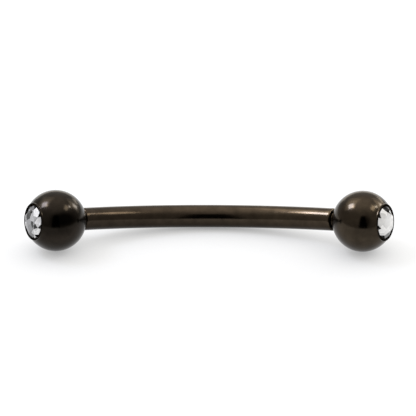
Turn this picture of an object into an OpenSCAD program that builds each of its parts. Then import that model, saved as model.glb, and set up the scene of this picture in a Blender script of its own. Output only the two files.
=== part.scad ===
/* [Bar] */
// Diameter of the curved bar
bar_d = 1.48; // [1.3:0.01:1.6]
// Straight distance between the two shoulders of the bar
bar_span = 16.35; // [12:0.05:20]
// Angle through which the bar is bent from end to end
bend = 60.5; // [50:0.5:80]
// Chamfer round each shoulder of the bar
shoulder_chamfer = 0.06; // [0.04:0.01:0.12]

/* [Thread] */
// Outer diameter of the thread at each end of the bar
thread_d = 1.2; // [1:0.05:1.2]
// Rise of the thread in one turn
thread_pitch = 0.25; // [0.2:0.05:0.3]
// Length of the threaded stretch
thread_len = 1.35; // [1:0.05:1.35]
// Length of the plain neck between the shoulder and the thread
neck_len = 0.25; // [0.15:0.05:0.3]
// Length of the cone at the tip of the thread
tip_len = 0.1; // [0.05:0.01:0.12]

/* [Ball] */
// Diameter of each ball
ball_d = 4; // [4:0.1:5]
// Gap between the shoulder of the bar and the mouth of the hole in the ball
ball_gap = 0.22; // [0.1:0.01:0.3]
// Play all round the thread in the hole of the ball
hole_play = 0.03; // [0.02:0.01:0.06]
// Depth of the hole past the tip of the thread
hole_spare = 0.12; // [0.05:0.01:0.12]

/* [Setting] */
// Height of the raised rim above the ball
rim_rise = 0.115; // [0.06:0.005:0.15]
// Thickness of the rim round the crystal's pocket
rim_wall = 0.105; // [0.08:0.005:0.14]
// Chamfer on the outer edge of the rim
rim_chamfer = 0.04; // [0.01:0.01:0.05]
// Width of the lip that is pressed over the edge of the crystal
lip_overhang = 0.045; // [0.03:0.005:0.08]
// Play all round the crystal
crystal_play = 0.015; // [0.01:0.005:0.03]

/* [Crystal] */
// Diameter of each crystal
crystal_d = 2.2; // [1.9:0.05:2.3]
// Depth of the crystal's widest edge below the top of the rim
crystal_sink = 0.08; // [0.06:0.01:0.12]
// Height of the faceted top
crown_h = 0.31; // [0.25:0.01:0.35]
// Width of the flat table as a share of the crystal's diameter
table_share = 0.57; // [0.5:0.01:0.6]
// How far out the corners of the star facets lie, as a share of the crystal's diameter
star_share = 0.8; // [0.75:0.01:0.85]
// Height of the straight edge between top and point
girdle_h = 0.05; // [0.03:0.01:0.08]
// Height of the faceted point
point_h = 0.9; // [0.8:0.01:0.9]

/* [Hidden] */
$fn = 96;

LEFT = -1;
RIGHT = 1;
black_steel = [0.13, 0.12, 0.11];
clear_crystal = [0.88, 0.92, 0.94];

// The bar lies in its own flat plane: its middle is at [0, 0], and its ends reach towards -Y
bar_r = bar_d / 2;
half_bend = bend / 2;
span_r = bar_span / 2 / sin(half_bend);
span_sag = span_r * (1 - cos(half_bend));

// Along the axis of an end, 0 is the centre of the ball and the crystal faces +Z
ball_r = ball_d / 2;
thread_r = thread_d / 2;
mouth_z = -sqrt(pow(ball_r, 2) - pow(thread_r, 2));
shoulder_z = mouth_z - ball_gap;
thread_z = shoulder_z + neck_len;
tip_z = thread_z + thread_len;
hole_r = thread_r + hole_play;
hole_end_z = tip_z + tip_len + hole_spare;

// The centre of the right ball, in the plane of the bar
ball_x = bar_span / 2 - shoulder_z * cos(half_bend);
ball_reach = span_sag - shoulder_z * sin(half_bend);

// The barbell rests on both balls and on the middle of the bar, so its plane leans
lean = asin((ball_r - bar_r) / ball_reach);
depth_centre = (bar_r - ball_reach * cos(lean) - ball_r) / 2;

// The thread's standard profile: its depth, its crest flat, and the slope on each side
thread_depth = 0.6134 * thread_pitch;
crest_flat = thread_pitch / 8;
flank = thread_pitch * 5 / 16;
neck_r = thread_r - thread_depth;
thread_rings = floor(thread_len / thread_pitch);

// The setting, from the ball's centre outwards
pocket_r = crystal_d / 2 + crystal_play;
rim_r = pocket_r + rim_wall;
rim_z = sqrt(pow(ball_r, 2) - pow(rim_r, 2)) + rim_rise;
girdle_z = rim_z - crystal_sink;
lip_z = girdle_z + crystal_play;
seat_z = girdle_z - girdle_h - crystal_play;
seat_end_r = 0.1;
seat_end_z = girdle_z - girdle_h - point_h - 0.1;

// The crystal's facets, from its widest edge
crystal_r = crystal_d / 2;
facet_step = 45;
half_step = facet_step / 2;
table_r = table_share * crystal_r;
star_r = star_share * crystal_r;
star_h = crown_h * (crystal_r - star_r * cos(half_step)) / (crystal_r - table_r);
point_star_r = 0.25 * crystal_r;
point_star_h = point_h * (1 - point_star_r * cos(half_step) / crystal_r);

// A cut runs past a face by this much
past = 0.2;

function points_round(count, r, z, turn) =
    [for (k = [0 : count - 1]) [r * cos(360 / count * k + turn), r * sin(360 / count * k + turn), z]];

// Leans the plane of the bar back until the barbell rests on the ground, centred on the origin
module resting() {
    translate([0, -depth_centre, bar_r]) rotate([-lean, 0, 0]) children();
}

// Puts a piece at one end, with +Z out along the axis of that end
module at_end(side) {
    turn = side == RIGHT ? -half_bend : 180 + half_bend;
    resting() translate([side * ball_x, -ball_reach, 0]) rotate([0, 0, turn]) rotate([0, 90, 0])
        children();
}

// The bent round wire between the two shoulders
module bent_wire() {
    resting() translate([0, -span_r, 0]) rotate([0, 0, 90 - half_bend])
        rotate_extrude(angle = bend) translate([span_r, 0]) circle(r = bar_r);
}

// What a shoulder's chamfer takes off: a ring whose slope starts clear of the wire
module shoulder_cut() {
    rotate_extrude() polygon([
        [bar_r - shoulder_chamfer, shoulder_z],
        [bar_r + past, shoulder_z - shoulder_chamfer - past],
        [bar_r + past, shoulder_z + past],
        [bar_r - shoulder_chamfer, shoulder_z + past]
    ]);
}

// The plain neck, the thread and the coned tip that the ball screws on to, turned as one shape.
// The thread is drawn as one ridge for each of its turns.
module threaded_end() {
    ridges = [for (k = [0 : thread_rings - 1]) let (z = thread_z + k * thread_pitch) each [
        [neck_r, z + crest_flat],
        [thread_r, z + crest_flat + flank],
        [thread_r, z + 2 * crest_flat + flank],
        [neck_r, z + 2 * crest_flat + 2 * flank]
    ]];
    rotate_extrude() polygon(concat(
        [[0, shoulder_z - past], [neck_r, shoulder_z - past]],
        ridges,
        [[neck_r, tip_z], [neck_r - tip_len, tip_z + tip_len], [0, tip_z + tip_len]]
    ));
}

module bar() {
    color(black_steel) {
        difference() {
            bent_wire();
            for (side = [LEFT, RIGHT]) at_end(side) shoulder_cut();
        }
        for (side = [LEFT, RIGHT]) at_end(side) threaded_end();
    }
}

// The raised rim that holds the crystal, down to well inside the ball
module rim() {
    cylinder(r = rim_r, h = rim_z - rim_chamfer);
    translate([0, 0, rim_z - rim_chamfer])
        cylinder(r1 = rim_r, r2 = rim_r - rim_chamfer, h = rim_chamfer);
}

// The pocket, from the flat top of the rim down: a lip, a straight wall for the crystal's edge
// and a coned seat that reaches past the crystal's point
module crystal_pocket() {
    translate([0, 0, rim_z]) cylinder(r = ball_r, h = ball_r);
    translate([0, 0, lip_z])
        cylinder(r1 = pocket_r, r2 = pocket_r - lip_overhang, h = rim_z - lip_z);
    translate([0, 0, seat_z]) cylinder(r = pocket_r, h = lip_z - seat_z);
    translate([0, 0, seat_end_z]) cylinder(r1 = seat_end_r, r2 = pocket_r, h = seat_z - seat_end_z);
}

// The hole that takes the thread, with a flat end
module screw_hole() {
    translate([0, 0, -ball_r - past]) cylinder(r = hole_r, h = ball_r + past + hole_end_z);
}

module ball(side) {
    color(black_steel) at_end(side) difference() {
        union() {
            sphere(r = ball_r);
            rim();
        }
        crystal_pocket();
        screw_hole();
    }
}

// A round cut: a table with 8 star, 8 kite and 16 half facets above the edge, 8 kites and 16 halves below
module cut_crystal() {
    corners = concat(
        points_round(8, table_r, crown_h, 0),
        points_round(8, star_r, star_h, half_step),
        points_round(16, crystal_r, 0, 0),
        points_round(16, crystal_r, -girdle_h, 0),
        points_round(8, point_star_r, -girdle_h - point_star_h, half_step),
        [[0, 0, -girdle_h - point_h]]
    );
    star = 8;
    edge_top = 16;
    edge_low = 32;
    low_star = 48;
    point = 56;
    facets = concat(
        [[for (k = [7 : -1 : 0]) k]],
        [for (k = [0 : 7]) [k, (k + 1) % 8, star + k]],
        [for (k = [0 : 7]) [k, star + k, edge_top + 2 * k, star + (k + 7) % 8]],
        [for (k = [0 : 7], half = [0, 1])
            [star + k, edge_top + (2 * k + half + 1) % 16, edge_top + 2 * k + half]],
        [for (k = [0 : 15])
            [edge_top + k, edge_top + (k + 1) % 16, edge_low + (k + 1) % 16, edge_low + k]],
        [for (k = [0 : 7], half = [0, 1])
            [low_star + k, edge_low + 2 * k + half, edge_low + (2 * k + half + 1) % 16]],
        [for (k = [0 : 7]) [point, low_star + (k + 7) % 8, edge_low + 2 * k, low_star + k]]
    );
    polyhedron(points = corners, faces = facets);
}

module crystal(side) {
    color(clear_crystal) at_end(side) translate([0, 0, girdle_z]) cut_crystal();
}

bar();
ball(LEFT);  // ball_left
ball(RIGHT);  // ball_right
crystal(LEFT);  // crystal_left
crystal(RIGHT);  // crystal_right
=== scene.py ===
# %% [markdown]
# A curved tongue barbell in black steel lies on white paper. Its bar is bent like a shallow bow, and a
# ball screws on to each end. A clear round-cut crystal is set into the outer side of each ball.
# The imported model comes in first. It is the measured frame, and every piece below is made in its
# metres and rides on one of its bodies, so that the balls still slide off when a pose asks for it.

import math

import bpy
from mathutils import Matrix, Vector


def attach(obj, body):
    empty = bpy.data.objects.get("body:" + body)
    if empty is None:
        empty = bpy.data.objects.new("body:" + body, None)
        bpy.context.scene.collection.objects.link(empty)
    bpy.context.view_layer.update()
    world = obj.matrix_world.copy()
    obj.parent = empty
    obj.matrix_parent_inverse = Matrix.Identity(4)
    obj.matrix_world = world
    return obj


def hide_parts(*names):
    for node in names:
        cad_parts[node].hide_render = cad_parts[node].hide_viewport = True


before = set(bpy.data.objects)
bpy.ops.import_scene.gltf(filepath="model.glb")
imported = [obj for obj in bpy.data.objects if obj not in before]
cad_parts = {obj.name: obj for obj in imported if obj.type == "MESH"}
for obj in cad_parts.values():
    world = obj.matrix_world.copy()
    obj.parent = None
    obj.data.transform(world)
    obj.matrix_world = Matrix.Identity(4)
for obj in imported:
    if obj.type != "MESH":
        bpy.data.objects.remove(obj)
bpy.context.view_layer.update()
scene = bpy.context.scene
MM = 0.001
print("nodes:", sorted(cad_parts))

# %% [markdown]
# A jeweller works from a short list of sizes: the gauge of the bar, its length between the shoulders,
# the ball, and the crystal. The same few sizes drive this file. Everything else follows from them,
# such as how far the bar leans when the barbell lies on a table. All of these are in millimetres.

# %% The driving sizes
LEFT = -1
RIGHT = 1

BAR_D = 1.48
BAR_SPAN = 16.35
BEND = math.radians(60.5)
SHOULDER_CHAMFER = 0.06

THREAD_D = 1.2
THREAD_PITCH = 0.25
THREAD_LEN = 1.35
NECK_LEN = 0.25
TIP_LEN = 0.1

BALL_D = 4.0
BALL_GAP = 0.22
HOLE_PLAY = 0.03
HOLE_SPARE = 0.12
MOUTH_SINK = 0.1
DRILL_ANGLE = math.radians(118)

RIM_RISE = 0.115
RIM_WALL = 0.105
RIM_CHAMFER = 0.04
LIP_OVERHANG = 0.045
CRYSTAL_PLAY = 0.015

CRYSTAL_D = 2.2
CRYSTAL_SINK = 0.08
CROWN_H = 0.31
TABLE_SHARE = 0.57
STAR_SHARE = 0.8
GIRDLE_H = 0.05
POINT_H = 0.9
print("ball", BALL_D, "mm, bar", BAR_D, "mm, crystal", CRYSTAL_D, "mm")

# %% [markdown]
# The barbell rests on three places: both balls and the middle of its bar. The balls are thicker than
# the bar, so the flat plane that the bar is bent in leans back a little. One matrix holds that lean.
# A second matrix, one for each end, stands at the centre of a ball and looks out along its screw.

# %% Where things lie
bar_r = BAR_D / 2
half_bend = BEND / 2
span_r = BAR_SPAN / 2 / math.sin(half_bend)
span_sag = span_r * (1 - math.cos(half_bend))

ball_r = BALL_D / 2
thread_r = THREAD_D / 2
mouth_z = -math.sqrt(ball_r**2 - thread_r**2)
shoulder_z = mouth_z - BALL_GAP

ball_x = BAR_SPAN / 2 - shoulder_z * math.cos(half_bend)
ball_reach = span_sag - shoulder_z * math.sin(half_bend)
lean = math.asin((ball_r - bar_r) / ball_reach)
depth_centre = (bar_r - ball_reach * math.cos(lean) - ball_r) / 2

metres = Matrix.Diagonal((MM, MM, MM, 1))
resting = metres @ Matrix.Translation((0, -depth_centre, bar_r)) @ Matrix.Rotation(-lean, 4, "X")


def at_end(side):
    """From the frame of one end, with +Z out along its screw, to the place of that end."""
    turn = -half_bend if side == RIGHT else math.pi + half_bend
    there = Matrix.Translation((side * ball_x, -ball_reach, 0))
    return resting @ there @ Matrix.Rotation(turn, 4, "Z") @ Matrix.Rotation(math.pi / 2, 4, "Y")


print("lean of the bar:", round(math.degrees(lean), 2), "degrees")
print("ball centres, mm:", [[round(v / MM, 3) for v in at_end(side).translation] for side in (LEFT, RIGHT)])

# %% [markdown]
# The picture is a close-up taken from well back with a long lens, so the two balls come out the same
# size. A camera is a place, an aim and a lens. Here the place is worked out from the angle above the
# table and the distance, and the lens from how wide a slice of the table the picture takes in.

# %% The camera
CAMERA_ELEVATION = math.radians(28.005)
CAMERA_YAW = math.radians(-0.8)
CAMERA_ROLL = math.radians(0.514)
CAMERA_DISTANCE = 400 * MM
CAMERA_AIM = Vector((-0.0720, 0.4070, 2.2633)) * MM
PICTURE_SIDE = 416
PIXELS_PER_MM = 15.294
SENSOR_WIDTH = 36
CLOSEST_SEEN = 10 * MM
FARTHEST_SEEN = 10


def camera_axes():
    """The camera's right, up and back directions, with its small roll."""
    level = math.cos(CAMERA_ELEVATION)
    rise = math.sin(CAMERA_ELEVATION)
    back = Vector((math.sin(CAMERA_YAW) * level, -math.cos(CAMERA_YAW) * level, rise))
    right = Vector((math.cos(CAMERA_YAW), math.sin(CAMERA_YAW), 0))
    up = back.cross(right)
    rolled_right = math.cos(CAMERA_ROLL) * right + math.sin(CAMERA_ROLL) * up
    return rolled_right, back.cross(rolled_right), back


def make_camera():
    lens = bpy.data.cameras.new("camera")
    lens.sensor_width = SENSOR_WIDTH
    lens.lens = SENSOR_WIDTH * CAMERA_DISTANCE / MM * PIXELS_PER_MM / PICTURE_SIDE
    lens.clip_start = CLOSEST_SEEN
    lens.clip_end = FARTHEST_SEEN
    camera = bpy.data.objects.new("camera", lens)
    scene.collection.objects.link(camera)
    right, up, back = camera_axes()
    turned = Matrix((right, up, back)).transposed().to_4x4()
    camera.matrix_world = Matrix.Translation(CAMERA_AIM + back * CAMERA_DISTANCE) @ turned
    scene.camera = camera
    print("camera at, mm:", [round(v / MM, 1) for v in camera.location], "lens, mm:", round(lens.lens, 1))


make_camera()

# %% [markdown]
# Every light and finish below is a tree of nodes: small machines with sockets, and links from the
# results of one to the inputs of the next. They could be wired by hand in the editor, but a script
# can be read and run again. Four helpers keep the wiring short: one links two sockets, one makes a
# node with its values, one works out a sum, and one spreads a value from one range over another.

# %% Helpers for nodes
# A mix node has sockets for numbers, vectors and colours. These are the numbers of the colour ones.
MIX_FACTOR, MIX_FIRST, MIX_SECOND, MIX_RESULT = 0, 6, 7, 2


def link(tree, output, target):
    """Joins the result of one node to an input of another."""
    tree.links.new(output, target)


def new_node(tree, kind, **values):
    """A node of that kind, with named input values set on its sockets."""
    node = tree.nodes.new(kind)
    for socket, value in values.items():
        node.inputs[socket.replace("_", " ")].default_value = value
    return node


def worked_out(tree, operation, *terms):
    """The result of a math node. Each term is a socket or a plain number."""
    node = new_node(tree, "ShaderNodeMath")
    node.operation = operation
    for socket, term in zip(node.inputs, terms):
        if isinstance(term, bpy.types.NodeSocket):
            link(tree, term, socket)
        else:
            socket.default_value = term
    return node.outputs["Value"]


def spread(tree, value, source, target, easing="LINEAR"):
    """A socket's value, spread from the range source over the range target, and kept inside it."""
    node = new_node(
        tree, "ShaderNodeMapRange", From_Min=source[0], From_Max=source[1], To_Min=target[0], To_Max=target[1]
    )
    node.interpolation_type = easing
    link(tree, value, node.inputs["Value"])
    return node.outputs["Result"]


print("colour sockets of a mix node:", MIX_FACTOR, MIX_FIRST, MIX_SECOND, "and", MIX_RESULT)

# %% [markdown]
# Polished black metal has hardly any colour of its own: what the eye reads as its shape is a small
# mirror picture of the room. So the room comes before the metal. It is a white tent, brightest at its
# top and dimmer towards its walls, and it leans away from the camera a little. Each direction is
# compared with the leaning axis by one dot product, and a colour ramp turns that into brightness.
# The plain view transform keeps the white paper pure white.

# %% The tent
TENT_STRENGTH = 1.0
TENT_LEAN = math.radians(17)
TENT_STEPS = (
    (0.0, 0.45),
    (0.45, 0.45),
    (0.60, 0.56),
    (0.75, 0.78),
    (0.88, 1.08),
    (0.96, 1.32),
    (1.0, 1.40),
)
TENT_WARMTH = (1.0, 0.95, 0.89)


def make_tent():
    world = bpy.data.worlds.new("tent")
    world.use_nodes = True
    tree = world.node_tree
    direction = new_node(tree, "ShaderNodeTexCoord")
    towards = new_node(tree, "ShaderNodeVectorMath")
    towards.operation = "DOT_PRODUCT"
    towards.inputs[1].default_value = (0, math.sin(TENT_LEAN), math.cos(TENT_LEAN))
    ramp = new_node(tree, "ShaderNodeValToRGB")
    stops = ramp.color_ramp.elements
    while len(stops) < len(TENT_STEPS):
        stops.new(1.0)
    for stop, (nearness, brightness) in zip(stops, TENT_STEPS):
        stop.position = nearness
        stop.color = [brightness * tint for tint in TENT_WARMTH] + [1]
    background = tree.nodes["Background"]
    background.inputs["Strength"].default_value = TENT_STRENGTH
    link(tree, direction.outputs["Generated"], towards.inputs[0])
    link(tree, towards.outputs["Value"], ramp.inputs["Fac"])
    link(tree, ramp.outputs["Color"], background.inputs["Color"])
    scene.world = world
    scene.view_settings.view_transform = "Standard"
    print("tent:", len(stops), "steps of brightness from the table to the top")


make_tent()

# %% [markdown]
# A studio lamp behind white cloth is an area light here. A mirror shows it as its own rectangle, so
# its size is the size of the highlight. Its strength is given as a radiance, with white paper as 1,
# so that a lamp can be made larger without getting dimmer in the mirror. Its place is given as a
# photographer would say it: a bearing, a height angle and a distance.

# %% One lamp and its place
def lamp(name, place, size, radiance, colour):
    """A rectangle of light at place (mm) that faces the barbell. Radiance 1 is as bright as white paper."""
    light = bpy.data.lights.new(name, "AREA")
    light.shape = "RECTANGLE"
    light.size = size[0] * MM
    light.size_y = size[1] * MM
    light.energy = radiance * math.pi * light.size * light.size_y
    light.color = colour
    holder = bpy.data.objects.new(name, light)
    scene.collection.objects.link(holder)
    holder.location = Vector(place) * MM
    holder.rotation_euler = (-holder.location).to_track_quat("-Z", "Y").to_euler()
    print(name, "at", [round(v, 1) for v in place], "mm, strength", round(light.energy, 4), "W")


def seen_at(azimuth, elevation, distance):
    """The place at a bearing (0 is towards the camera, + to the right), a height angle and a distance."""
    turn = math.radians(azimuth)
    rise = math.radians(elevation)
    return (
        distance * math.sin(turn) * math.cos(rise),
        -distance * math.cos(turn) * math.cos(rise),
        distance * math.sin(rise),
    )


print("straight overhead at 300 mm:", [round(v, 1) for v in seen_at(0, 90, 300)])

# %% [markdown]
# Eleven lamps shine through the tent. The main one stands high on the left. It makes the small
# bluish spot on each ball and the cream line near the right end of the bar, and the lower side lamp
# makes the soft spot on the right shoulder of each ball. Cloth spreads light, so each of these two
# has two wide and faint glows round it. One more lamp stands high on the left, the end lamp and its
# glow draw the line near the left end of the bar, and two low strips light the far side of the table.

# %% The lamps
BLUE_WHITE = (0.68, 0.76, 1.0)
COOL_WHITE = (0.92, 0.96, 1.0)
WARM_WHITE = (1.0, 0.93, 0.80)
lamp("main_lamp", seen_at(-108, 52.5, 300), (92, 84), 22, BLUE_WHITE)
lamp("main_glow", seen_at(-121, 53, 340), (180, 150), 1.3, WARM_WHITE)
lamp("wide_glow", seen_at(-126, 50, 360), (300, 240), 0.8, WARM_WHITE)
lamp("side_lamp", seen_at(122, 25, 300), (58, 76), 10, COOL_WHITE)
lamp("side_glow", seen_at(123, 32, 340), (130, 150), 1.3, WARM_WHITE)
lamp("side_wide_glow", seen_at(127, 28, 360), (240, 220), 0.8, WARM_WHITE)
lamp("high_lamp", seen_at(-98, 60, 300), (60, 40), 7, WARM_WHITE)
lamp("end_lamp", seen_at(104, 46, 300), (32, 32), 18, COOL_WHITE)
lamp("end_glow", seen_at(86, 56, 320), (110, 66), 5, WARM_WHITE)
lamp("low_strip", seen_at(146, 13, 300), (70, 50), 2.2, WARM_WHITE)
lamp("far_strip", seen_at(180, 6, 400), (420, 80), 0.9, WARM_WHITE)

# %% [markdown]
# Cards and sheets of paper stand round the barbell and take no part in it. Each is a flat face with
# four corners and a plain dull material to start from.

# %% A card
def flat_card(name, corners):
    """A four-cornered card that is no part of the barbell itself. Corners in metres."""
    mesh = bpy.data.meshes.new(name)
    mesh.from_pydata(corners, [], [(0, 1, 2, 3)])
    card = bpy.data.objects.new(name, mesh)
    scene.collection.objects.link(card)
    return card


def dull_material(name, colour, roughness):
    """A material with no gloss at all, and its shader."""
    material = bpy.data.materials.new(name)
    material.use_nodes = True
    shader = material.node_tree.nodes["Principled BSDF"]
    shader.inputs["Base Color"].default_value = (*colour, 1)
    shader.inputs["Roughness"].default_value = roughness
    shader.inputs["Specular IOR Level"].default_value = 0
    return material, shader


print("a card has one face, and its material has no gloss")

# %% [markdown]
# The front of the tent is open where the camera looks in, and polished metal mirrors that opening as
# a black patch. A dark card behind the camera stands for it. It is broad at its foot and narrower at
# its top, as the gap between two hanging cloths is, and the angles say how large it looks from the
# barbell.

# %% The opening
OPENING_DISTANCE = 450 * MM
OPENING_FOOT = math.radians(17)
OPENING_TOP = math.radians(9)
OPENING_LOW = math.radians(0.4)
OPENING_HIGH = math.radians(48)
NEARLY_BLACK = (0.002, 0.002, 0.002)


def make_opening():
    middle = (OPENING_LOW + OPENING_HIGH) / 2
    centre = Vector(seen_at(0, math.degrees(middle), OPENING_DISTANCE))
    sideways = Vector((1, 0, 0))
    foot = sideways * OPENING_DISTANCE * math.tan(OPENING_FOOT)
    top = sideways * OPENING_DISTANCE * math.tan(OPENING_TOP)
    half_height = OPENING_DISTANCE * math.tan((OPENING_HIGH - OPENING_LOW) / 2)
    rise = centre.normalized().cross(sideways) * half_height
    corners = [centre - rise - foot, centre - rise + foot, centre + rise + top, centre + rise - top]
    card = flat_card("dark_opening", corners)
    material, _ = dull_material("dark_opening", NEARLY_BLACK, 1)
    card.data.materials.append(material)
    print("opening:", round(2 * foot.x / MM), "mm wide at its foot,", round(2 * half_height / MM), "mm high")


make_opening()

# %% [markdown]
# The barbell lies on a sheet of white paper with a fine tooth. Light reaches the paper from all
# round and through its back, so it stays nearly pure white right up to the barbell, with one soft
# shadow. So the paper glows by itself, and an ambient occlusion node dims the glow where something
# stands close over it. More light comes from behind than from the front, so the node looks for
# things in its way round a direction that leans back, and the shadow falls forward. The power curve
# keeps the shadow soft, and dark only at the very contact.

# %% The paper
PAPER_SIDE = 3.0
PAPER_WHITE = (0.12, 0.1215, 0.123)
PAPER_ROUGHNESS = 0.9
PAPER_GLOW = (0.14, 0.905)
SHADOW_REACH = 11.5 * MM
SHADOW_LEAN = math.radians(36)
SHADOW_SOFTNESS = 0.55
SHADOW_SAMPLES = 16
TOOTH_SCALE = 4000
TOOTH_STRENGTH = 0.05
TOOTH_HEIGHT = 0.01 * MM


def make_paper():
    half = PAPER_SIDE / 2
    corners = [(-half, -half, 0), (half, -half, 0), (half, half, 0), (-half, half, 0)]
    paper = flat_card("white_paper", corners)
    material, shader = dull_material("white_paper", PAPER_WHITE, PAPER_ROUGHNESS)
    tree = material.node_tree

    shade = new_node(tree, "ShaderNodeAmbientOcclusion", Distance=SHADOW_REACH)
    shade.samples = SHADOW_SAMPLES
    leaning_back = new_node(tree, "ShaderNodeCombineXYZ", Y=math.sin(SHADOW_LEAN), Z=math.cos(SHADOW_LEAN))
    link(tree, leaning_back.outputs["Vector"], shade.inputs["Normal"])
    openness = worked_out(tree, "POWER", shade.outputs["AO"], SHADOW_SOFTNESS)
    glow = spread(tree, openness, (0, 1), PAPER_GLOW)
    shader.inputs["Emission Color"].default_value = (1, 1, 1, 1)
    link(tree, glow, shader.inputs["Emission Strength"])

    place = new_node(tree, "ShaderNodeTexCoord")
    tooth = new_node(tree, "ShaderNodeTexNoise", Scale=TOOTH_SCALE)
    bump = new_node(tree, "ShaderNodeBump", Strength=TOOTH_STRENGTH, Distance=TOOTH_HEIGHT)
    link(tree, place.outputs["Object"], tooth.inputs["Vector"])
    link(tree, tooth.outputs["Fac"], bump.inputs["Height"])
    link(tree, bump.outputs["Normal"], shader.inputs["Normal"])
    paper.data.materials.append(material)
    print("paper:", PAPER_SIDE, "m square, its shadow reaches", SHADOW_REACH / MM, "mm")


make_paper()

# %% [markdown]
# The bar and the balls are turned parts, as if from a lathe: rings round an axis. Their polishing
# marks follow the turning, so the marks need a chart of the surface. A UV map is such a chart: it
# gives each corner of each face a place on a flat sheet. Here u goes once round the axis from 0 to 1,
# and v is the length along the surface in millimetres.

# %% The chart of a turned part
AROUND = 128


def lay_out(mesh, rings, count):
    """The UV map of a skinned mesh: u once round, v the length along the surface in mm."""
    heights = [0.0]
    for near, far in zip(rings, rings[1:]):
        heights.append(heights[-1] + (far[0] - near[0]).length / MM)
    layer = mesh.uv_layers.new(name="round_and_along")
    last = count * len(rings) + 1
    for face in mesh.polygons:
        numbers = {loop: mesh.loops[loop].vertex_index for loop in face.loop_indices}
        at_seam = any(0 < number < last and number % count == 0 for number in numbers.values())
        for loop, number in numbers.items():
            if number in (0, last):
                layer.data[loop].uv = (0.5, heights[0] if number == 0 else heights[-1])
                continue
            row, k = divmod(number - 1, count)
            # The last face of a row ends where the first began, and there u goes on to 1.
            if at_seam and k == 0:
                k = count
            layer.data[loop].uv = (k / count, heights[row])


print("rings have", AROUND, "points, so one step round is", 1 / AROUND, "of u")

# %% [markdown]
# One helper makes the mesh of any turned part. It skins a row of rings with four-sided faces, closes
# both ends on a single point, and lays out the chart. A screw modifier could spin a profile too, but
# it can't follow a bent path, and the bar needs that.

# %% A skin over rings
def skin(name, first, rings, last):
    """A closed mesh through rings of points, with a point at each end, all in metres."""
    count = len(rings[0])
    points = [first] + [point for ring in rings for point in ring] + [last]
    faces = []
    for k in range(count):
        faces.append((0, 1 + (k + 1) % count, 1 + k))
    for row in range(len(rings) - 1):
        low = 1 + row * count
        high = low + count
        for k in range(count):
            step = (k + 1) % count
            faces.append((low + k, low + step, high + step, high + k))
    low = 1 + (len(rings) - 1) * count
    for k in range(count):
        faces.append((low + k, low + (k + 1) % count, len(points) - 1))
    mesh = bpy.data.meshes.new(name)
    mesh.from_pydata(points, [], faces)
    mesh.shade_smooth()
    lay_out(mesh, rings, count)
    return mesh


print("two rings have", AROUND, "faces between them")

# %% [markdown]
# Polishing leaves no sharp corner on a turned part, and a corner with a tiny radius catches a line
# of light that a sharp one can't. This helper rounds each corner of a profile with a short curve,
# and leaves the shallow bends of a smooth sphere alone.

# %% Rounded corners
SMOOTH_BEND = math.radians(12)
CORNER_STEPS = 4
MOST_OF_A_SIDE = 0.45


def eased(profile, radius):
    """The same profile with each sharp corner rounded, as polishing leaves it."""
    done = [profile[0]]
    for before, corner, after in zip(profile, profile[1:], profile[2:]):
        into = corner - before
        out = after - corner
        if into.angle(out) < SMOOTH_BEND:
            done.append(corner)
            continue
        reach = min(radius, MOST_OF_A_SIDE * into.length, MOST_OF_A_SIDE * out.length)
        start = corner - into.normalized() * reach
        end = corner + out.normalized() * reach
        for k in range(CORNER_STEPS + 1):
            t = k / CORNER_STEPS
            done.append(start * (1 - t) ** 2 + corner * 2 * t * (1 - t) + end * t**2)
    return done + [profile[-1]]


right_angle = [Vector((0, 0)), Vector((1, 0)), Vector((1, 1))]
print("a corner of 3 points is rounded with", len(eased(right_angle, 0.1)), "points")

# %% [markdown]
# A finished mesh becomes a piece in three steps: it gets its materials, it rides on the body of the
# CAD node that it stands for, and it replaces that node in the picture. Weighted normals keep the flat
# faces beside a rounded edge flat in a highlight.

# %% Placing a piece
FLAT_FACE_WEIGHT = 80


def even_shine(piece):
    """Keeps flat faces flat in the highlights beside small rounded edges."""
    weighted = piece.modifiers.new("even_shine", "WEIGHTED_NORMAL")
    weighted.keep_sharp = True
    weighted.weight = FLAT_FACE_WEIGHT


def add_piece(name, mesh, materials, body, node):
    """Puts a finished mesh into the scene in place of a CAD node, riding on that node's body."""
    for material in materials:
        mesh.materials.append(material)
    piece = bpy.data.objects.new(name, mesh)
    scene.collection.objects.link(piece)
    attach(piece, body)
    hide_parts(node)
    print(name, "has", len(mesh.polygons), "faces")
    return piece


# %% [markdown]
# The black finish is a thin hard coating over polished steel. It mirrors a few hundredths of the
# light face on, and far more at a low angle, which a metallic shader with a very dark colour does by
# itself. The two balls and the two ends of the bar are not quite the same brown black. The bar also
# has painted light along its top and painted shade underneath: the underside loses a share of its
# colour, and the top gains as much. A roughness is a pair of values, because the polish is finer in
# one place than in the next.

# %% Colours of the coat
COAT_LEFT = (0.0252, 0.0207, 0.0163)
COAT_RIGHT = (0.0468, 0.0367, 0.026)
BAR_LEFT = (0.0348, 0.0268, 0.0197)
BAR_RIGHT = (0.0551, 0.0422, 0.0293)
BALL_ROUGHNESS = (0.13, 0.21)
BAR_ROUGHNESS = (0.14, 0.22)
MATT_BLACK = (0.015, 0.0125, 0.010)
MATT_ROUGHNESS = (0.35, 0.5)
PAINTED_UNDERSIDE_SHADE = 0.45
print("colours of the coat from", COAT_LEFT, "to", BAR_RIGHT)

# %% [markdown]
# Soft ovals on the front of each ball are a painted dark reflection, made by darkening the coat's
# colour there. A mapping node moves, turns and scales the place on the surface until the oval is a
# unit ball. The distance from its middle, with a soft step, then says how much darker the colour gets.
# Each patch has a ball, a bearing and a height angle on it, half its width and height, and the share of the
# colour that is left in its middle.

# %% Painted dark reflections
PAINTED_REFLECTION_EDGE = (0.35, 1.15)


def on_ball(side, azimuth, elevation):
    """The place in mm on a ball's surface with that bearing and height angle from its centre."""
    return at_end(side).translation / MM + Vector(seen_at(azimuth, elevation, ball_r))


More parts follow.
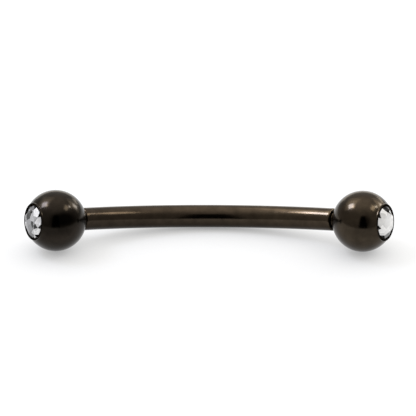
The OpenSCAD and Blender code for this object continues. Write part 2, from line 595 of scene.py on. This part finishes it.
def painted_dark_reflection(tree, place, side, azimuth, elevation, half_size, share_left):
    """A factor of painted dark reflection: 1 outside an oval patch on a ball, falling softly to share_left in
    its middle. Sizes in mm.
    """
    local = new_node(tree, "ShaderNodeMapping")
    local.vector_type = "TEXTURE"
    local.inputs["Location"].default_value = on_ball(side, azimuth, elevation) * MM
    local.inputs["Rotation"].default_value = (math.pi / 2 - math.radians(elevation), 0, 0)
    local.inputs["Scale"].default_value = Vector((*half_size, ball_r)) * MM
    distance = new_node(tree, "ShaderNodeVectorMath")
    distance.operation = "LENGTH"
    link(tree, place, local.inputs["Vector"])
    link(tree, local.outputs["Vector"], distance.inputs[0])
    return spread(tree, distance.outputs["Value"], PAINTED_REFLECTION_EDGE, (share_left, 1), "SMOOTHSTEP")


# Painted dark reflections, darkening the coat's colour: ball, bearing, height angle, half size, share left.
LEFT_PAINTED_REFLECTIONS = (
    (LEFT, 20, 29, (1.15, 0.58), 0.15),
    (LEFT, 0, 12, (1.5, 0.75), 0.5),
)
RIGHT_PAINTED_REFLECTIONS = (
    (RIGHT, 3, 27, (0.42, 0.45), 0.3),
    (RIGHT, 2, 10, (1.5, 0.7), 0.7),
)
print("blacker patches:", len(LEFT_PAINTED_REFLECTIONS), "on the left ball,", len(RIGHT_PAINTED_REFLECTIONS), "on the right one")

# %% [markdown]
# Two small trees give the shades of the coat, and each hands back the socket with its result. One is
# a factor of painted light and shade that falls from the top of the bar to its underside: u runs once
# round the bar from 0 to 1, and a sine of it is 1 on top and -1 underneath. The other goes from one
# colour to another along X.

# %% Painted light on the bar, and the colour of the coat
def painted_light_on_top(tree, uv):
    """Painted light and shade: 1 halfway up the bar, more on its top and less on its underside, from u once
    round it.
    """
    parts = new_node(tree, "ShaderNodeSeparateXYZ")
    link(tree, uv, parts.inputs["Vector"])
    angle = worked_out(tree, "MULTIPLY", parts.outputs["X"], math.tau)
    height = worked_out(tree, "SINE", angle)
    return spread(tree, height, (-1, 1), (1 - PAINTED_UNDERSIDE_SHADE, 1 + PAINTED_UNDERSIDE_SHADE))


def coat_colour(tree, place, ends, colours):
    """Shades from one colour to another between two places along X, given in mm."""
    parts = new_node(tree, "ShaderNodeSeparateXYZ")
    link(tree, place, parts.inputs["Vector"])
    shade = new_node(tree, "ShaderNodeMix")
    shade.data_type = "RGBA"
    shade.inputs[MIX_FIRST].default_value = (*colours[0], 1)
    shade.inputs[MIX_SECOND].default_value = (*colours[1], 1)
    along = spread(tree, parts.outputs["X"], (ends[0] * MM, ends[1] * MM), (0, 1))
    link(tree, along, shade.inputs[MIX_FACTOR])
    return shade.outputs[MIX_RESULT]


# How much paler the painted light makes the bar's top than the painted shade of its underside.
painted_top_to_underside = (1 + PAINTED_UNDERSIDE_SHADE) / (1 - PAINTED_UNDERSIDE_SHADE)
print("the top of the bar is", round(painted_top_to_underside, 2), "times as pale as its underside")

# %% [markdown]
# A polishing wheel leaves fine lines round a turned piece. They could be cut into the mesh, but they
# are far too small for that. So a noise on the UV map is stretched until it is long round the piece
# and short along it, and it changes both the roughness and the height of the surface. The values of
# a noise keep near their middle, so most of the noises below are spread from that narrow range.

# %% Polishing lines
NOISE_MIDDLE = (0.3, 0.7)
LINE_SCALE = (6, 45, 1)
LINE_STRENGTH = 0.12
LINE_HEIGHT = 0.0004 * MM


def polishing_lines(tree, uv, shader, roughness):
    """Fine lines round the piece, in its roughness and its height."""
    stretched = new_node(tree, "ShaderNodeMapping", Scale=LINE_SCALE)
    lines = new_node(tree, "ShaderNodeTexNoise", Scale=1, Detail=4, Roughness=0.6)
    bump = new_node(tree, "ShaderNodeBump", Strength=LINE_STRENGTH, Distance=LINE_HEIGHT)
    link(tree, uv, stretched.inputs["Vector"])
    link(tree, stretched.outputs["Vector"], lines.inputs["Vector"])
    link(tree, spread(tree, lines.outputs["Fac"], NOISE_MIDDLE, roughness), shader.inputs["Roughness"])
    link(tree, lines.outputs["Fac"], bump.inputs["Height"])
    link(tree, bump.outputs["Normal"], shader.inputs["Normal"])


print("polishing lines are up to", LINE_HEIGHT / MM, "mm high")

# %% [markdown]
# The whole coat puts these together. Faint clouds, the painted dark reflections on a ball and, on the
# bar, the painted light on its top and painted shade underneath are multiplied into one amount, and the
# amount is multiplied into the colour.

# %% The coat
CLOUD_SCALE = 1500
CLOUD_SHADES = (0.78, 1.2)


def black_steel(name, ends, colours, roughness, patches=(), paint_top_light=False):
    """Coated steel, with a colour for each of two places along X, optional painted dark reflections and
    painted light on top, and polishing lines.
    """
    material = bpy.data.materials.new(name)
    material.use_nodes = True
    tree = material.node_tree
    shader = tree.nodes["Principled BSDF"]
    shader.inputs["Metallic"].default_value = 1
    place = new_node(tree, "ShaderNodeTexCoord")
    here = place.outputs["Object"]

    clouds = new_node(tree, "ShaderNodeTexNoise", Scale=CLOUD_SCALE, Detail=3, Roughness=0.6)
    link(tree, here, clouds.inputs["Vector"])
    amount = spread(tree, clouds.outputs["Fac"], NOISE_MIDDLE, CLOUD_SHADES)
    # Painted dark reflections on a ball's coat.
    factors = [painted_dark_reflection(tree, here, *patch) for patch in patches]
    # On the bar, painted light on its top and painted shade underneath.
    if paint_top_light:
        factors.append(painted_light_on_top(tree, place.outputs["UV"]))
    for factor in factors:
        amount = worked_out(tree, "MULTIPLY", amount, factor)

    clouded = new_node(tree, "ShaderNodeMix")
    clouded.data_type = "RGBA"
    clouded.blend_type = "MULTIPLY"
    clouded.inputs[MIX_FACTOR].default_value = 1
    link(tree, coat_colour(tree, here, ends, colours), clouded.inputs[MIX_FIRST])
    link(tree, amount, clouded.inputs[MIX_SECOND])
    link(tree, clouded.outputs[MIX_RESULT], shader.inputs["Base Color"])
    polishing_lines(tree, place.outputs["UV"], shader, roughness)
    return material


print("clouds change the colour of the coat by factors from", CLOUD_SHADES[0], "to", CLOUD_SHADES[1])

# %% [markdown]
# The bar and each ball get a coat of their own. A fourth coat is for the pocket of each crystal and
# the narrow top of the rim round it: it is matt and blacker, and a dark specular tint takes away the
# pale shine that a metal has at a low angle.

# %% The four coats
SHINE_TAKEN_AWAY = (0.1, 0.1, 0.1, 1)

bar_ends = (-BAR_SPAN / 2, BAR_SPAN / 2)
left_ends = (-ball_x - ball_r, -ball_x + ball_r)
right_ends = (ball_x - ball_r, ball_x + ball_r)
bar_coat = black_steel("black_steel_bar", bar_ends, (BAR_LEFT, BAR_RIGHT), BAR_ROUGHNESS, paint_top_light=True)
left_coat = black_steel("black_steel_left", left_ends, (COAT_LEFT, COAT_LEFT), BALL_ROUGHNESS, LEFT_PAINTED_REFLECTIONS)
right_coat = black_steel(
    "black_steel_right", right_ends, (COAT_RIGHT, COAT_RIGHT), BALL_ROUGHNESS, RIGHT_PAINTED_REFLECTIONS
)
matt_coat = black_steel("matt_black_rim", bar_ends, (MATT_BLACK, MATT_BLACK), MATT_ROUGHNESS)
matt_shader = matt_coat.node_tree.nodes["Principled BSDF"]
matt_shader.inputs["Specular Tint"].default_value = SHINE_TAKEN_AWAY
ball_coats = {LEFT: left_coat, RIGHT: right_coat}
print("coats:", [coat.name for coat in (bar_coat, left_coat, right_coat, matt_coat)])

# %% [markdown]
# The bar is one wire with a shoulder, a thin neck and a cut thread at each end. A real thread is a
# single ridge that winds up the pin. So on the threaded stretches the radius rises and falls both
# with the place along the pin and with the angle round it, which draws a true spiral. The depth,
# crest and flank of the ridge are the standard shares of its pitch.

# %% The thread
DEPTH_SHARE = 0.6134
CREST_SHARE = 1 / 8
FLANK_SHARE = 5 / 16
thread_depth = DEPTH_SHARE * THREAD_PITCH
neck_r = thread_r - thread_depth
thread_z = shoulder_z + NECK_LEN
tip_z = thread_z + THREAD_LEN


def ridge(phase):
    """Height of the thread's ridge, 0 to 1, at a place in its pitch, 0 to 1."""
    off_crest = abs(phase % 1 - 0.5) - CREST_SHARE / 2
    return min(1, max(0, 1 - off_crest / FLANK_SHARE))


def thread_radius(z, angle):
    """Radius of a threaded end at z along its axis. It fades in over half a turn and out over a third."""
    turns = (z - thread_z) / THREAD_PITCH
    turns_left = (tip_z - z) / THREAD_PITCH
    fade = max(0, min(1, turns * 2, turns_left * 3))
    return neck_r + thread_depth * fade * ridge(turns - angle / math.tau)


print("neck", round(2 * neck_r, 3), "mm across, thread", THREAD_D, "mm")

# %% [markdown]
# The wire is bent cold round a former. It could be a curve with a bevel, but a curve can't carry a
# thread. So the bar is skinned from rings along its path: straight, round the bend, and straight
# again. Each ring stands square to the path, and its radius may change with the angle.

# %% The path
ARC_RINGS = 180


def bar_frame(bend_angle, beyond):
    """Centre of the path and its outer side, at an angle round the bend or that far straight past it."""
    tangent = Vector((math.cos(bend_angle), -math.sin(bend_angle), 0))
    outward = Vector((math.sin(bend_angle), math.cos(bend_angle), 0))
    centre = outward * span_r - Vector((0, span_r, 0))
    return centre + tangent * beyond, outward


def bar_ring(bend_angle, beyond, radius_at):
    """One ring of the bar in metres. radius_at gives the radius in mm at an angle."""
    centre, outward = bar_frame(bend_angle, beyond)
    upward = Vector((0, 0, 1))
    ring = []
    for k in range(AROUND):
        angle = math.tau * k / AROUND
        spoke = outward * math.cos(angle) + upward * math.sin(angle)
        ring.append(resting @ (centre + spoke * radius_at(angle)))
    return ring


print("one ring round the bend every", round(math.degrees(BEND) / ARC_RINGS, 2), "degrees")

# %% [markdown]
# One list of stations goes from a shoulder out to the tip: how far along the axis, and how thick. The
# shoulder's chamfer and its face are plain steps of that list, each eased a little. The right ball
# stands off from its shoulder, and a dark ring shows between them. The left one sits tight, so there
# the shoulder reaches nearly to the ball.

# %% The stations of an end
RINGS_PER_TURN = 20
SHOULDER_REACH = {LEFT: 0.2, RIGHT: 0}
SHOULDER_EASE = 0.02
SHOULDER_NUDGE = 0.006


def end_stations(side):
    """(distance past the end of the bend, radius function) from the shoulder to the tip of one end."""
    face = SHOULDER_REACH[side]
    plain = [
        (face - SHOULDER_CHAMFER - SHOULDER_EASE, bar_r),
        (face - SHOULDER_CHAMFER, bar_r - SHOULDER_NUDGE),
        (face - SHOULDER_EASE, bar_r - SHOULDER_CHAMFER + SHOULDER_EASE),
        (face, bar_r - SHOULDER_CHAMFER - SHOULDER_NUDGE),
        (face, neck_r + 2 * SHOULDER_EASE),
        (face + SHOULDER_NUDGE, neck_r + SHOULDER_NUDGE),
        (face + 2 * SHOULDER_EASE, neck_r),
        (NECK_LEN, neck_r),
    ]
    stations = [(z, lambda angle, r=r: r) for z, r in plain]
    count = round(THREAD_LEN / THREAD_PITCH * RINGS_PER_TURN)
    for k in range(1, count + 1):
        z = NECK_LEN + THREAD_LEN * k / count
        stations.append((z, lambda angle, z=z: thread_radius(shoulder_z + z, angle)))
    stations.append((NECK_LEN + THREAD_LEN + TIP_LEN, lambda angle: neck_r - TIP_LEN))
    return stations


print("stations from a shoulder to its tip:", len(end_stations(RIGHT)))

# %% [markdown]
# The bar starts at its left tip. The left end uses its list backwards, then come the rings round the
# bend, which keep clear of the chamfers, and then the right end.

# %% The bar
def make_bar():
    rings = [bar_ring(-half_bend, -beyond, radius) for beyond, radius in reversed(end_stations(LEFT))]
    for k in range(ARC_RINGS + 1):
        bend_angle = -half_bend + BEND * k / ARC_RINGS
        inset = span_r * (half_bend - abs(bend_angle))
        clear_of_chamfer = inset > 2 * SHOULDER_CHAMFER
        if clear_of_chamfer:
            rings.append(bar_ring(bend_angle, 0, lambda angle: bar_r))
    rings += [bar_ring(half_bend, beyond, radius) for beyond, radius in end_stations(RIGHT)]
    reach = NECK_LEN + THREAD_LEN + TIP_LEN
    first = resting @ bar_frame(-half_bend, -reach)[0]
    last = resting @ bar_frame(half_bend, reach)[0]
    mesh = skin("polished_bar", first, rings, last)
    piece = add_piece("polished_bar", mesh, [bar_coat], "shank", "bar")
    even_shine(piece)


make_bar()

# %% [markdown]
# Each ball is turned from rod: the sphere, a screw hole with a countersunk mouth, and on the other
# side a raised rim round a pocket. The rim's inner edge is pressed over the crystal as a fine lip.
# All of it is one profile of (radius, height along the screw), spun once round.

# %% The profile of a ball
SPHERE_STEPS = 96
EDGE_EASE = 0.018
SEAT_END_R = 0.1
POINT_SPARE = 0.1
hole_r = thread_r + HOLE_PLAY
hole_end_z = tip_z + TIP_LEN + HOLE_SPARE
pocket_r = CRYSTAL_D / 2 + CRYSTAL_PLAY
rim_r = pocket_r + RIM_WALL
rim_foot_z = math.sqrt(ball_r**2 - rim_r**2)
rim_z = rim_foot_z + RIM_RISE
girdle_z = rim_z - CRYSTAL_SINK
lip_z = girdle_z + CRYSTAL_PLAY
seat_z = girdle_z - GIRDLE_H - CRYSTAL_PLAY
seat_end_z = girdle_z - GIRDLE_H - POINT_H - POINT_SPARE


def ball_profile():
    """Points (radius, height) in mm from the bottom of the screw hole, over the ball, into the pocket."""
    # The countersink slopes at 45 degrees: radius and height add up to the same sum all along it.
    slope_sum = hole_r + mouth_z + MOUTH_SINK
    mouth_edge_z = (slope_sum - math.sqrt(2 * ball_r**2 - slope_sum**2)) / 2
    start = math.atan2(mouth_edge_z, slope_sum - mouth_edge_z)
    end = math.atan2(rim_foot_z, rim_r)
    points = [
        (0, hole_end_z + hole_r / math.tan(DRILL_ANGLE / 2)),
        (hole_r, hole_end_z),
        (hole_r, mouth_z + MOUTH_SINK),
    ]
    for k in range(SPHERE_STEPS + 1):
        angle = start + (end - start) * k / SPHERE_STEPS
        points.append((ball_r * math.cos(angle), ball_r * math.sin(angle)))
    points += [
        (rim_r, rim_z - RIM_CHAMFER),
        (rim_r - RIM_CHAMFER, rim_z),
        (pocket_r - LIP_OVERHANG, rim_z),
        (pocket_r, lip_z),
        (pocket_r, seat_z),
        (SEAT_END_R, seat_end_z),
        (0, seat_end_z),
    ]
    return eased([Vector(point) for point in points], EDGE_EASE)


print("profile of a ball:", len(ball_profile()), "points")

# %% [markdown]
# One profile serves both balls. Each is spun round the axis of its own end of the bar. The faces on
# top of the rim and in the pocket then get the matt coat, as the second material of the same mesh,
# which keeps each ball one closed piece. The outer wall of the rim is polished with the ball.

# %% The balls
def spun(profile, place):
    """Rings of a profile spun round +Z of a place, without its first and last points."""
    return [
        [
            place @ Vector((r * math.cos(math.tau * k / AROUND), r * math.sin(math.tau * k / AROUND), z))
            for k in range(AROUND)
        ]
        for r, z in profile[1:-1]
    ]


def make_ball(side, word):
    place = at_end(side)
    profile = ball_profile()
    first = place @ Vector((0, 0, profile[0].y))
    last = place @ Vector((0, 0, profile[-1].y))
    mesh = skin("polished_ball_" + word, first, spun(profile, place), last)
    finishes = [ball_coats[side], matt_coat]
    piece = add_piece(mesh.name, mesh, finishes, "end_" + word, "ball_" + word)
    back_home = place.inverted()
    for face in mesh.polygons:
        centre = back_home @ face.center
        on_top_of_rim = centre.z > rim_z - RIM_CHAMFER
        in_pocket = centre.z > 0 and centre.xy.length < pocket_r
        face.material_index = int(on_top_of_rim or in_pocket)
    even_shine(piece)


make_ball(LEFT, "left")
make_ball(RIGHT, "right")

# %% [markdown]
# A crystal like this is pressed glass with a mirror foil on its back. Light goes in through the
# faceted top, bounces about and comes out again, so in a black hole it looks bright, and each facet
# is white, grey or black as a whole. Clear glass over a mirror alone gave a much busier pattern than
# the real one at this size. So each facet of the top has one of four glasses, from clear to dark, that
# paint the light and shade of the facets. They are partly milky with a painted glow of their own, in
# patches of painted glints that a cell texture draws, and partly true glass with the foil behind it.

# %% Four glasses
PATCHES_PER_METRE = 2200
PATCH_MIDDLE = (0.2, 0.8)
HAZE_SCALE = 2500
HAZE_RANGE = (0.45, 0.8)
HAZE_ROUGHNESS = (0, 0.05)
GLASS_IOR = 1.56


def crystal_glass(name, painted_tones, body, shine, painted_glow):
    """Glass in patches of painted glints between two painted tones. body is its milky share, painted_glow its
    painted glow of its own.
    """
    material = bpy.data.materials.new(name)
    material.use_nodes = True
    tree = material.node_tree
    shader = tree.nodes["Principled BSDF"]
    shader.inputs["Transmission Weight"].default_value = 1 - body
    shader.inputs["IOR"].default_value = GLASS_IOR
    shader.inputs["Specular IOR Level"].default_value = shine
    # A painted glow: the glass gives off a little light of its own.
    shader.inputs["Emission Strength"].default_value = painted_glow
    place = new_node(tree, "ShaderNodeTexCoord")
    patches = new_node(tree, "ShaderNodeTexVoronoi", Scale=PATCHES_PER_METRE)
    parts = new_node(tree, "ShaderNodeSeparateXYZ")
    haze = new_node(tree, "ShaderNodeTexNoise", Scale=HAZE_SCALE, Detail=3)
    link(tree, place.outputs["Object"], patches.inputs["Vector"])
    link(tree, patches.outputs["Color"], parts.inputs["Vector"])
    # The cell patches paint glints of light into the glass's colour and its glow.
    tone = spread(tree, parts.outputs["X"], PATCH_MIDDLE, painted_tones)
    link(tree, tone, shader.inputs["Base Color"])
    link(tree, tone, shader.inputs["Emission Color"])
    link(tree, place.outputs["Object"], haze.inputs["Vector"])
    link(tree, spread(tree, haze.outputs["Fac"], HAZE_RANGE, HAZE_ROUGHNESS), shader.inputs["Roughness"])
    return material


GLASSES = [
    crystal_glass("clear_crystal", painted_tones=(0.68, 0.97), body=0.65, shine=0.5, painted_glow=0.2),
    crystal_glass("crystal_painted_grey", painted_tones=(0.0, 0.7), body=0.85, shine=0.4, painted_glow=0.1),
    crystal_glass("crystal_painted_dim", painted_tones=(0.08, 0.2), body=0.9, shine=0.4, painted_glow=0.05),
    crystal_glass("crystal_painted_dark", painted_tones=(0.0, 0.04), body=1.0, shine=0.0, painted_glow=0.0),
]
CLEAR, PAINTED_GREY, PAINTED_DIM, PAINTED_DARK, FOIL = range(5)
print("glasses:", [glass.name for glass in GLASSES])

# %% [markdown]
# The foil is a thin mirror on the facets of the back. It is a nearly white metal with a fine grain
# that tints it and takes the edge off its shine.

# %% The foil
FOIL_SHADES = ((0.86, 0.87, 0.90, 1), (0.98, 0.98, 0.97, 1))
FOIL_ROUGHNESS = (0.08, 0.16)
GRAIN_SCALE = 4000


def mirror_foil():
    material = bpy.data.materials.new("mirror_foil")
    material.use_nodes = True
    tree = material.node_tree
    shader = tree.nodes["Principled BSDF"]
    shader.inputs["Metallic"].default_value = 1
    place = new_node(tree, "ShaderNodeTexCoord")
    grain = new_node(tree, "ShaderNodeTexNoise", Scale=GRAIN_SCALE, Detail=4)
    tint = new_node(tree, "ShaderNodeMix")
    tint.data_type = "RGBA"
    tint.inputs[MIX_FIRST].default_value = FOIL_SHADES[0]
    tint.inputs[MIX_SECOND].default_value = FOIL_SHADES[1]
    link(tree, place.outputs["Object"], grain.inputs["Vector"])
    link(tree, grain.outputs["Fac"], tint.inputs[MIX_FACTOR])
    link(tree, tint.outputs[MIX_RESULT], shader.inputs["Base Color"])
    link(tree, spread(tree, grain.outputs["Fac"], NOISE_MIDDLE, FOIL_ROUGHNESS), shader.inputs["Roughness"])
    return material


foil = mirror_foil()
print("foil:", foil.name)

# %% [markdown]
# The cut is the common round one. Its corners lie on a few circles: one round the flat table, one at
# the tips of the stars, two round the straight edge, and one on the back above the point. So a short
# helper for one circle makes nearly all of them.

# %% Corners of a crystal
LOW_STAR_SHARE = 0.25
crystal_r = CRYSTAL_D / 2
facet_step = math.tau / 8
half_step = facet_step / 2
table_r = TABLE_SHARE * crystal_r
star_r = STAR_SHARE * crystal_r
star_h = CROWN_H * (crystal_r - star_r * math.cos(half_step)) / (crystal_r - table_r)
low_star_r = LOW_STAR_SHARE * crystal_r
low_star_h = POINT_H * (1 - low_star_r * math.cos(half_step) / crystal_r)


def circle(count, radius, height, turn=0):
    """That many corners round a circle, the first one turned on by an angle."""
    angles = [math.tau * k / count + turn for k in range(count)]
    return [Vector((radius * math.cos(a), radius * math.sin(a), height)) for a in angles]


def crystal_corners():
    """The corners in mm, from the flat table down to the point."""
    return (
        circle(8, table_r, CROWN_H)
        + circle(8, star_r, star_h, half_step)
        + circle(16, crystal_r, 0)
        + circle(16, crystal_r, -GIRDLE_H)
        + circle(8, low_star_r, -GIRDLE_H - low_star_h, half_step)
        + [Vector((0, 0, -GIRDLE_H - POINT_H))]
    )


print("corners of a crystal:", len(crystal_corners()))

# %% [markdown]
# On top there is the flat table with eight star facets round it, then eight kites and sixteen small
# halves down to the edge. Below, eight kites and sixteen halves meet at the point. Each facet is a
# list of corner numbers, so one loop of eight rounds makes all but the table and the straight edge.

# %% Facets of a crystal
def crystal_facets():
    """(top facets, back facets) as corner numbers, each seen from outside anticlockwise."""
    star, edge, low_edge, low_star, point = 8, 16, 32, 48, 56
    top = [tuple(range(8))]
    back = []
    for k in range(8):
        top.append((k, star + k, (k + 1) % 8))
        top.append((k, star + (k + 7) % 8, edge + 2 * k, star + k))
        back.append((point, low_star + k, low_edge + 2 * k, low_star + (k + 7) % 8))
        for half in (0, 1):
            near = 2 * k + half
            far = (near + 1) % 16
            top.append((star + k, edge + near, edge + far))
            back.append((low_star + k, low_edge + far, low_edge + near))
    for k in range(16):
        far = (k + 1) % 16
        top.append((edge + k, low_edge + k, low_edge + far, edge + far))
    return top, back


top_facets, back_facets = crystal_facets()
print("facets:", len(top_facets), "on the top and round the edge,", len(back_facets), "on the back")

# %% [markdown]
# The glass of a facet follows from where it lies. On the front side of a crystal the kites are clear,
# and so is the straight edge beside them. The halves between the kites are clear too, but the upper
# one of each pair is painted dark, which draws the dark wedges of painted shade at the crystal's edge.
# So are the halves just behind the middle. The bottom kite is painted dim, and the rearmost kite and
# stars are painted grey. What differs between the two crystals is in a small table: the flat table,
# the other stars, the top kite, the rest of the back side, and the last half at the bottom.

# %% Which glass goes where
LEFT_CUT = {"table": PAINTED_GREY, "stars": PAINTED_GREY, "top": PAINTED_DIM, "back": PAINTED_GREY, "tail": CLEAR}
RIGHT_CUT = {"table": CLEAR, "stars": CLEAR, "top": PAINTED_DARK, "back": PAINTED_DIM, "tail": PAINTED_DARK}
BACK_SIDE = -0.25
REARMOST = 0.5
AT_TOP_OR_BOTTOM = 0.9


def glass_for(centre, count, side, cut):
    """Which glass a top facet gets, from its centre in mm and its number of corners."""
    out = max(centre.xy.length, 0.01)
    upward = -centre.x / out
    frontward = -side * centre.y / out
    if count == 8:
        return cut["table"]
    if count == 3 and out < star_r:
        return PAINTED_GREY if frontward < BACK_SIDE else cut["stars"]
    if frontward < BACK_SIDE:
        return PAINTED_GREY if count == 4 and abs(upward) < REARMOST else cut["back"]
    if count == 4:
        if abs(upward) < AT_TOP_OR_BOTTOM:
            return CLEAR
        return cut["top"] if upward > 0 else PAINTED_DIM
    turn = math.atan2(centre.y, centre.x)
    pair_turn = math.floor(turn / facet_step) * facet_step + half_step
    upper_of_pair = upward > -math.cos(pair_turn)
    if upper_of_pair or frontward < 0:
        return PAINTED_DARK
    return cut["tail"] if upward < -AT_TOP_OR_BOTTOM else CLEAR


print("the table of the left crystal is", GLASSES[LEFT_CUT["table"]].name)

# %% [markdown]
# Each crystal is one closed mesh with all the glasses and the foil. A bevel of a few thousandths of
# a millimetre takes the sharpness off its edges: real glass wears there, and an edge that is
# perfectly sharp looks drawn.

# %% The two crystals
EDGE_WEAR = 0.006
WEAR_STEPS = 2


def make_crystal(side, word, cut):
    place = at_end(side) @ Matrix.Translation((0, 0, girdle_z))
    corners = crystal_corners()
    facets = top_facets + back_facets
    mesh = bpy.data.meshes.new("cut_crystal_" + word)
    mesh.from_pydata([place @ corner for corner in corners], [], facets)
    mesh.shade_smooth()
    piece = add_piece(mesh.name, mesh, GLASSES + [foil], "end_" + word, "crystal_" + word)
    for face, numbers in zip(mesh.polygons, facets):
        centre = sum((corners[k] for k in numbers), Vector()) / len(numbers)
        on_top = face.index < len(top_facets)
        face.material_index = glass_for(centre, len(numbers), side, cut) if on_top else FOIL
    worn = piece.modifiers.new("worn_edges", "BEVEL")
    worn.width = EDGE_WEAR * MM
    worn.segments = WEAR_STEPS
    worn.limit_method = "NONE"
    worn.harden_normals = True


make_crystal(LEFT, "left", LEFT_CUT)
make_crystal(RIGHT, "right", RIGHT_CUT)
